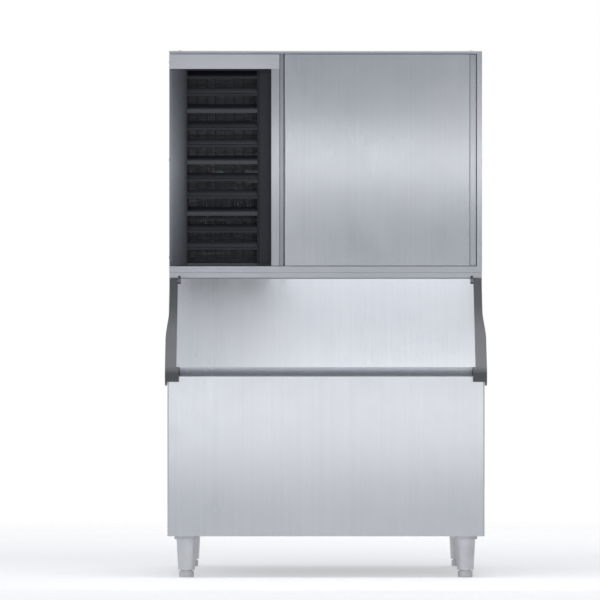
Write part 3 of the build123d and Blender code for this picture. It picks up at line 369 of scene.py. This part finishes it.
V = 2600.0
M = {
    "front": stainless("stainless_front", (V, V, 7.0), rough=0.30),
    "side": stainless("stainless_side", (V, V, 7.0), rough=0.31),
    "door": stainless("stainless_door", (V, 7.0, 7.0), rough=0.30),
    "top": stainless("stainless_top", (V, 7.0, V), rough=0.32),
    "strip": stainless("stainless_strip", (7.0, V, V), rough=0.30),
    "galv": galvanised("galvanised_sheet"),
    "dull": metal("dull_zinc", (0.22, 0.225, 0.23), rough=0.55, vary=0.06, grain=(500, 500, 500)),
    "black": plastic("black_moulded", (0.018, 0.020, 0.026), rough=0.42, grain=1300.0, strength=0.25, vary=0.15),
    "grip": grip_mat("black_grip"),
    "grille": grille_mat("black_grille", (0.0065, 0.0085, 0.0145), (0.275, 0.290, 0.315)),
    "partition": partition_mat("partition_white"),
    "frame": frame_mat("grille_frame_steel"),
    "white": plastic("white_moulded", (0.80, 0.815, 0.82), rough=0.34, grain=500.0, strength=0.10, vary=0.02, coat=0.1, large=0.02),
    "liner": plastic("liner_white", (0.78, 0.80, 0.81), rough=0.38, grain=260.0, strength=0.12, dist=0.0006, vary=0.025, large=0.05),
    "clear": plastic("curtain_plastic", (0.70, 0.76, 0.79), rough=0.28, grain=300.0, strength=0.10, vary=0.03),
    "foam": foam_mat("foam_cells", (0.82, 0.74, 0.50)),
    "foamwhite": foam_mat("foam_white", (0.84, 0.84, 0.82)),
    "rubber": plastic("black_rubber", (0.022, 0.022, 0.023), rough=0.72, grain=700.0, strength=0.3, vary=0.2, spec=0.3),
    "hose": plastic("clear_hose", (0.62, 0.66, 0.64), rough=0.30, grain=300.0, strength=0.1, vary=0.05),
    "leg": metal("satin_leg", (0.60, 0.61, 0.63), rough=0.30, vary=0.04, grain=(900, 900, 30)),
    "pin": metal("zinc_pin", (0.62, 0.63, 0.62), rough=0.35, vary=0.05),
    "copper": metal("copper_tube", (0.80, 0.42, 0.27), rough=0.30, vary=0.10, tarnish=(0.42, 0.20, 0.12)),
    "nickel": metal("nickel_plate", (0.70, 0.69, 0.65), rough=0.22, vary=0.05),
    "enamel": paint("black_enamel", (0.015, 0.015, 0.017), rough=0.28, coat=0.5),
    "filter": plastic("filter_mesh", (0.030, 0.032, 0.036), rough=0.6, grain=700.0, strength=0.3, vary=0.2),
    "alu": metal("mill_aluminium", (0.74, 0.75, 0.76), rough=0.32, vary=0.05, grain=(60, 900, 900)),
    "grey": paint("grey_paint", (0.36, 0.38, 0.40), rough=0.42, coat=0.15),
    "brass": metal("brass_body", (0.72, 0.55, 0.26), rough=0.32, vary=0.10),
}
ASSIGN = {
    "front": "bin_front_panel right_front_door",
    "strip": "head_base_pan bin_top_rail",
    "frame": "grille_frame",
    "partition": "centre_partition",
    "side": "bin_left_side_panel bin_right_side_panel head_left_side_panel head_right_side_panel",
    "door": "bin_door_skin",
    "top": "head_top_cover",
    "galv": "bin_back_panel bin_bottom_panel head_back_panel head_top_rail fan_shroud",
    "dull": "door_hinge_brackets",
    "black": "power_switch",
    "grip": "door_grip_left door_grip_right",
    "grille": "intake_grille",
    "white": "evaporator_frame water_trough level_probe ice_thickness_probe water_inlet_valve dump_valve distribution_tube",
    "liner": "bin_liner bin_door_liner",
    "clear": "water_curtain",
    "foam": "bin_insulation bin_door_foam",
    "foamwhite": "front_door_insulation",
    "rubber": "bin_head_gasket door_bumpers compressor_grommets",
    "hose": "pump_hose",
    "leg": "legs foot_front_left foot_front_right foot_back_left foot_back_right bin_drain_fitting",
    "pin": "front_hinge_pins door_hinge_pins",
    "copper": "evaporator_coil refrigerant_lines filter_drier",
    "nickel": "evaporator_plate",
    "enamel": "compressor fan_motor water_pump hot_gas_valve",
    "alu": "condenser_coil fan_blade",
    "filter": "air_filter",
    "grey": "control_box",
    "brass": "expansion_valve",
}
for key, names in ASSIGN.items():
    for n in names.split():
        me = NODES[n].data
        me.materials.clear()
        me.materials.append(M[key])

# ------------------------------------------------------------------ rounded edges on the visible sheet metal and mouldings
for names, width, seg in (
    ("bin_front_panel right_front_door grille_frame bin_door_skin head_base_pan head_top_cover head_right_side_panel head_left_side_panel "
     "bin_left_side_panel bin_right_side_panel", 0.00045, 2),
    ("door_grip_left door_grip_right", 0.0022, 4),
    ("intake_grille", 0.0006, 2),
    ("power_switch control_box", 0.0008, 2),
):
    for n in names.split():
        o = NODES[n]
        b = o.modifiers.new("edge", "BEVEL")
        b.width = width
        b.segments = seg
        b.limit_method = "ANGLE"
        b.angle_limit = math.radians(35)
        b.harden_normals = False
        b.use_clamp_overlap = True

# ------------------------------------------------------------------ added pieces
def piece(name, bm, body, material, smooth=None):
    me = bpy.data.meshes.new(name)
    bmesh.ops.recalc_face_normals(bm, faces=bm.faces)
    bm.to_mesh(me)
    bm.free()
    me.materials.append(material)
    if smooth is not None:
        for poly in me.polygons:
            poly.use_smooth = True
        me.set_sharp_from_angle(angle=math.radians(smooth))
    o = bpy.data.objects.new(name, me)
    scene.collection.objects.link(o)
    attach(o, body)
    return o


def add_box(bm, lo, hi):
    m = Matrix.Translation([(a + b) / 2 for a, b in zip(lo, hi)]) @ Matrix.Diagonal([b - a for a, b in zip(lo, hi)] + [1])
    bmesh.ops.create_cube(bm, size=1.0, matrix=m)


def lathe(bm, profile, matrix, seg=32):
    """Closed ring or cap turned from (radius, height) pairs; a radius of 0 closes the end."""
    rings = []
    for r, h in profile:
        if r == 0:
            rings.append([bm.verts.new(matrix @ Vector((0, 0, h)))])
        else:
            rings.append([bm.verts.new(matrix @ Vector((r * math.cos(2 * math.pi * k / seg), r * math.sin(2 * math.pi * k / seg), h)))
                          for k in range(seg)])
    pairs = list(zip(rings, rings[1:]))
    if profile[0] == profile[-1]:
        for v in rings[-1]:
            bm.verts.remove(v)
        pairs[-1] = (rings[-2], rings[0])
    for a, b in pairs:
        for k in range(seg):
            q = [a[k % len(a)], a[(k + 1) % len(a)] if len(a) > 1 else a[0], b[(k + 1) % len(b)] if len(b) > 1 else b[0], b[k % len(b)]]
            q = list(dict.fromkeys(q))
            if len(q) > 2:
                bm.faces.new(q)


def facing(point, normal, turn=0.0):
    """Matrix that puts local +Z along the normal at the point."""
    z = Vector(normal).normalized()
    return Matrix.Translation(point) @ z.to_track_quat("Z", "Y").to_matrix().to_4x4() @ Matrix.Rotation(turn, 4, "Z")


def screw_head(bm, mat, r=0.0042, h=0.0024, sink=0.0003):
    """Pan head with a cross recess: the dome is built as a grid of rings, and the cross is pressed into it."""
    seg, rings = 32, 9
    grid = []
    for j in range(rings + 1):
        rr = r * j / rings
        row = []
        for k in range(seg):
            a = 2 * math.pi * k / seg
            x, y = rr * math.cos(a), rr * math.sin(a)
            z = h * (1 - 0.55 * (rr / r) ** 4) if j < rings else h * 0.40
            if min(abs(x), abs(y)) < r * 0.13 and max(abs(x), abs(y)) < r * 0.62:
                z -= h * 0.55
            row.append(bm.verts.new(mat @ Vector((x, y, z))) if j else None)
            if j == 0 and k == 0:
                centre = bm.verts.new(mat @ Vector((0, 0, h * 0.45)))
        grid.append(row)
    for k in range(seg):
        bm.faces.new((centre, grid[1][k], grid[1][(k + 1) % seg]))
    for j in range(1, rings):
        for k in range(seg):
            bm.faces.new((grid[j][k], grid[j + 1][k], grid[j + 1][(k + 1) % seg], grid[j][(k + 1) % seg]))
    low = [bm.verts.new(mat @ Vector((r * math.cos(2 * math.pi * k / seg), r * math.sin(2 * math.pi * k / seg), -sink))) for k in range(seg)]
    for k in range(seg):
        bm.faces.new((grid[rings][k], low[k], low[(k + 1) % seg], grid[rings][(k + 1) % seg]))
    bm.faces.new(low[::-1])


# screws that hold the side, back and top panels of the head
bm = bmesh.new()
for z in (0.772, 1.010, 1.248):
    for x, n in ((-0.381, -1), (0.381, 1)):
        for y in (-0.150, 0.416):
            screw_head(bm, facing((x, y, z), (n, 0, 0), random.uniform(0, 1.5)), 0.0040, 0.0013)
for z in (0.762, 1.030, 1.256):
    for x in (-0.368, 0.368):
        screw_head(bm, facing((x, 0.432, z), (0, 1, 0), random.uniform(0, 1.5)))
for x in (-0.120, 0.120):
    for z in (0.762, 1.256):
        screw_head(bm, facing((x, 0.432, z), (0, 1, 0), random.uniform(0, 1.5)))
for x in (-0.355, 0.355):
    for y in (-0.150, 0.410):
        screw_head(bm, facing((x, y, 1.275), (0, 0, 1), random.uniform(0, 1.5)))
piece("panel_screws", bm, "root", M["pin"], 30)

# screws of the bin's back panel
bm = bmesh.new()
for z in (0.130, 0.420, 0.710):
    for x in (-0.366, 0.366):
        screw_head(bm, facing((x, 0.432, z), (0, 1, 0), random.uniform(0, 1.5)))
piece("bin_back_screws", bm, "root", M["pin"], 30)

# grommet in the cable inlet
bm = bmesh.new()
lathe(bm, [(0.0085, -0.0060), (0.0125, -0.0060), (0.0136, -0.0048), (0.0136, -0.0022), (0.0112, -0.0016), (0.0112, 0.0004),
           (0.0140, 0.0010), (0.0148, 0.0022), (0.0138, 0.0036), (0.0105, 0.0042), (0.0085, 0.0030), (0.0080, -0.0010), (0.0085, -0.0060)],
      facing((-0.160, 0.432, 0.775), (0, 1, 0)), 48)
piece("cable_inlet_grommet", bm, "root", M["rubber"], 40)

# thread turns on the water inlet and on the drain outlet
for name, x, z, r, y0, y1, slot_name, mat in (("inlet_thread", -0.330, 1.180, 0.0120, 0.4334, 0.4438, "white_plastic", M["white"]),
                                              ("drain_thread", 0.0, 0.176, 0.0160, 0.4362, 0.4438, "leg_steel", M["leg"])):
    bm = bmesh.new()
    pitch, seg = 0.0018, 40
    turns = (y1 - y0 - pitch) / pitch
    steps = int(turns * seg)
    prev = None
    first = None
    for k in range(steps + 1):
        a = 2 * math.pi * k / seg
        y = y0 + pitch * k / seg
        ring = [bm.verts.new((x + rr * math.cos(a), y + dy, z + rr * math.sin(a)))
                for rr, dy in ((r - 0.0002, 0.0), (r + 0.0009, pitch * 0.42), (r + 0.0009, pitch * 0.54), (r - 0.0002, pitch * 0.94))]
        if prev:
            for i2 in range(4):
                bm.faces.new((prev[i2], prev[(i2 + 1) % 4], ring[(i2 + 1) % 4], ring[i2]))
        else:
            first = ring
        prev = ring
    bm.faces.new(first)
    bm.faces.new(prev[::-1])
    piece(name, bm, "root", mat, 30)

# fine net of the air filter: the upright wires lie in front of the cross wires
bm = bmesh.new()
fx0, fx1, fz0, fz1, fy, pitch, wire = -0.3585, -0.1315, 0.7675, 1.2185, -0.1450, 0.0027, 0.00062
nx, nz = int((fx1 - fx0) / pitch), int((fz1 - fz0) / pitch)
for k in range(1, nx):
    x = fx0 + (fx1 - fx0) * k / nx
    add_box(bm, (x - wire, fy - 0.0006, fz0), (x + wire, fy - 0.0001, fz1))
for k in range(1, nz):
    z = fz0 + (fz1 - fz0) * k / nz
    add_box(bm, (fx0, fy + 0.0001, z - wire), (fx1, fy + 0.0006, z + wire))
piece("air_filter_net", bm, "root", M["filter"])

# ------------------------------------------------------------------ floor and light
floor_me = bpy.data.meshes.new("floor")
bm = bmesh.new()
bmesh.ops.create_circle(bm, cap_ends=True, radius=5.0, segments=96)
bm.to_mesh(floor_me)
bm.free()
floor = bpy.data.objects.new("floor", floor_me)
scene.collection.objects.link(floor)
fm = Mat("floor_pale", Roughness=0.8)
fm.p.inputs["Specular IOR Level"].default_value = 0.1
fn = fm.noise(fm.coords((1, 1, 1)), 2.5, 3.0, 0.5)
fm.color(fm.ramp(fn, [(0.3, (0.88, 0.88, 0.88)), (0.7, (0.90, 0.90, 0.90))]))
# the floor thins out with distance, so that it runs into the pale background without a line
glow = fm.node("ShaderNodeEmission")
glow.inputs[0].default_value = (1, 1, 1, 1)
glow.inputs[1].default_value = 0.34
add = fm.node("ShaderNodeAddShader")
clear = fm.node("ShaderNodeBsdfTransparent")
fade = fm.node("ShaderNodeMixShader")
length = fm.node("ShaderNodeVectorMath", operation="LENGTH")
fm.link(fm.tc.outputs["Object"], length.inputs[0])
fm.link(fm.p.outputs[0], add.inputs[0])
fm.link(glow.outputs[0], add.inputs[1])
fm.link(fm.remap(length.outputs["Value"], 1.3, 4.2, 0.0, 1.0), fade.inputs[0])
fm.link(add.outputs[0], fade.inputs[1])
fm.link(clear.outputs[0], fade.inputs[2])
fm.link(fade.outputs[0], fm.out.inputs[0])
floor_me.materials.append(fm.m)

world = bpy.data.worlds.new("world")
scene.world = world
world.use_nodes = True
wt = world.node_tree
wt.nodes.clear()
wo = wt.nodes.new("ShaderNodeOutputWorld")
wb = wt.nodes.new("ShaderNodeBackground")
wb2 = wt.nodes.new("ShaderNodeBackground")
wm = wt.nodes.new("ShaderNodeMixShader")
lp = wt.nodes.new("ShaderNodeLightPath")
wc = wt.nodes.new("ShaderNodeTexCoord")
wsep = wt.nodes.new("ShaderNodeSeparateXYZ")
wr = wt.nodes.new("ShaderNodeMapRange")
wramp = wt.nodes.new("ShaderNodeValToRGB")
wt.links.new(wc.outputs["Generated"], wsep.inputs[0])
wt.links.new(wsep.outputs["Z"], wr.inputs["Value"])
wr.inputs["From Min"].default_value = -1.0
wr.inputs["From Max"].default_value = 1.0
wt.links.new(wr.outputs[0], wramp.inputs[0])
el = wramp.color_ramp.elements
el[0].position, el[0].color = 0.0, (0.62, 0.64, 0.66, 1)
el[1].position, el[1].color = 1.0, (0.60, 0.62, 0.66, 1)
for pos, c in ((0.42, (0.50, 0.52, 0.55)), (0.50, (0.38, 0.40, 0.435)), (0.60, (0.38, 0.40, 0.435)), (0.75, (0.48, 0.505, 0.54))):
    e = el.new(pos)
    e.color = (*c, 1)
wx = wt.nodes.new("ShaderNodeMapRange")
wx.inputs["From Min"].default_value = 0.15
wx.inputs["From Max"].default_value = 0.85
wx.inputs["To Min"].default_value = 1.0
wx.inputs["To Max"].default_value = 0.50
wt.links.new(wsep.outputs["X"], wx.inputs["Value"])
wmul = wt.nodes.new("ShaderNodeVectorMath")
wmul.operation = "SCALE"
wt.links.new(wramp.outputs[0], wmul.inputs[0])
wt.links.new(wx.outputs[0], wmul.inputs["Scale"])
wt.links.new(wmul.outputs[0], wb.inputs[0])
wb.inputs[1].default_value = 1.0
wb2.inputs[0].default_value = (1, 1, 1, 1)
wb2.inputs[1].default_value = 1.0
wt.links.new(lp.outputs["Is Camera Ray"], wm.inputs[0])
wt.links.new(wb.outputs[0], wm.inputs[1])
wt.links.new(wb2.outputs[0], wm.inputs[2])
wt.links.new(wm.outputs[0], wo.inputs[0])


def area(name, loc, target, size, radiance, color=(1, 1, 1), spread=180):
    """Soft box of the given size in metres and radiance, unseen by the camera."""
    d = bpy.data.lights.new(name, "AREA")
    d.shape = "RECTANGLE"
    d.size, d.size_y = size
    d.energy = radiance * math.pi * size[0] * size[1]
    d.color = color
    d.spread = math.radians(spread)
    o = bpy.data.objects.new(name, d)
    scene.collection.objects.link(o)
    o.location = loc
    o.rotation_euler = (Vector(target) - Vector(loc)).to_track_quat("-Z", "Y").to_euler()
    o.visible_camera = False
    return o


area("overhead", (0.05, -1.25, 3.0), (0.05, -1.1, 0.0), (3.0, 1.8), 0.55)
area("door_top", (0.28, -0.80, 1.95), (0.28, -0.78, 0.0), (1.0, 0.9), 1.14)
area("head_band", (0.13, -0.83, 1.022), (0.13, -0.19, 0.99), (1.05, 0.12), 1.22)
area("head_left", (-0.30, -0.83, 1.03), (-0.24, -0.19, 1.0), (0.12, 0.46), 0.30)
area("head_right", (0.52, -0.83, 1.03), (0.46, -0.19, 1.0), (0.12, 0.46), 0.40)
area("bin_band", (0.15, -1.25, 0.41), (0.15, -0.43, 0.385), (1.5, 0.32), 0.98)
area("left_soft", (-3.2, -0.9, 1.5), (0, 0, 0.6), (1.8, 2.0), 1.0)
area("right_soft", (3.2, -0.6, 1.5), (0, 0, 0.6), (1.8, 2.0), 0.30)
area("back_soft", (0.6, 3.4, 1.8), (0, 0, 0.7), (2.4, 1.8), 0.9)
